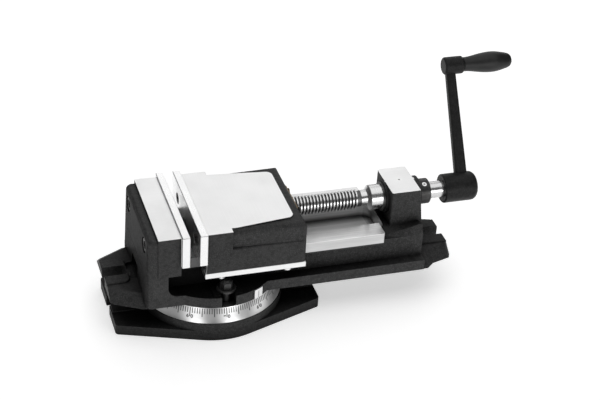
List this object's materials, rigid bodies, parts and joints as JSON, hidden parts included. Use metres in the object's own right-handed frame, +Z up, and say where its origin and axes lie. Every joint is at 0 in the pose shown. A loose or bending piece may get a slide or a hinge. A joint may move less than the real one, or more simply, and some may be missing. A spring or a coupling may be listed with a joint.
{
  "type": "machine vise",
  "caption": "Milling machine vise: a movable jaw on ground ways closes on a fixed jaw by a cranked spindle, on a graduated swivel base with clamp bolts.",
  "frame": {"origin": "swivel axis at the underside of the swivel base, midway between the base's two end slots", "axes": "+X along the spindle from the fixed jaw to the crank, +Y across the jaws, +Z up"},
  "size_m": [0.5446, 0.1823, 0.2653],
  "materials": {
    "black_casting": "satin black paint over cast iron; sliding and top faces ground bright",
    "ground_steel": "surface-ground hardened steel",
    "turned_steel": "turned bright steel, lightly oiled",
    "black_oxide_steel": "black oxide",
    "bronze": "machined bronze",
    "black_plastic": "moulded, worn satin"
  },
  "bodies": {
    "base": {"swivel_base": "black_casting", "pivot_pin": "turned_steel"},
    "vise": {"vise_body": "black_casting", "index_plate": "ground_steel", "bearing_bush": "bronze", "block_oiler": "turned_steel", "fixed_jaw_plate": "ground_steel", "fixed_plate_screws": "black_oxide_steel", "t_bolt_near": "black_oxide_steel", "t_bolt_far": "black_oxide_steel", "clamp_washer_near": "black_oxide_steel", "clamp_washer_far": "black_oxide_steel"},
    "jaw": {"movable_jaw": "black_casting", "movable_jaw_plate": "ground_steel", "movable_plate_screws": "black_oxide_steel", "jaw_nut": "bronze", "jaw_nut_screws": "black_oxide_steel", "keeper_near": "ground_steel", "keeper_far": "ground_steel", "keeper_screws_near": "turned_steel", "keeper_screws_far": "turned_steel"},
    "spindle": {"spindle": "turned_steel", "thrust_washer": "black_oxide_steel", "lock_collar": "black_oxide_steel", "collar_set_screw": "turned_steel"},
    "crank": {"crank_arm": "black_casting", "grip_pin": "black_oxide_steel"},
    "grip": {"crank_grip": "black_plastic"},
    "clamp_nut_near": {"clamp_nut_near": "black_oxide_steel"},
    "clamp_nut_far": {"clamp_nut_far": "black_oxide_steel"}
  },
  "joints": [
    {"name": "swivel", "type": "hinge", "parent": "base", "child": "vise", "pos_m": [0, 0, 0.044], "axis": [0, 0, 1], "continuous": true},
    {"name": "jaw_slide", "type": "slide", "parent": "vise", "child": "jaw", "axis": [1, 0, 0], "range_m": [-0.0119, 0.088]},
    {"name": "spindle_turn", "type": "hinge", "parent": "vise", "child": "spindle", "pos_m": [0.24, 0, 0.1205], "axis": [1, 0, 0], "range_deg": [-1014, 7486]},
    {"name": "crank_pull", "type": "slide", "parent": "spindle", "child": "crank", "axis": [1, 0, 0], "range_m": [0, 0.05]},
    {"name": "grip_spin", "type": "hinge", "parent": "crank", "child": "grip", "pos_m": [0.38, 0.07906, 0.25207], "axis": [1, 0, 0], "continuous": true},
    {"name": "clamp_nut_near_turn", "type": "hinge", "parent": "vise", "child": "clamp_nut_near", "pos_m": [0.0032, -0.067, 0.066], "axis": [0, 0, 1], "range_deg": [0, 360]},
    {"name": "clamp_nut_far_turn", "type": "hinge", "parent": "vise", "child": "clamp_nut_far", "pos_m": [0.0032, 0.067, 0.066], "axis": [0, 0, 1], "range_deg": [0, 360]}
  ],
  "couplings": [
    {"joint": "spindle_turn", "follows": "jaw_slide", "rad_per_m": 1484.3}
  ]
}
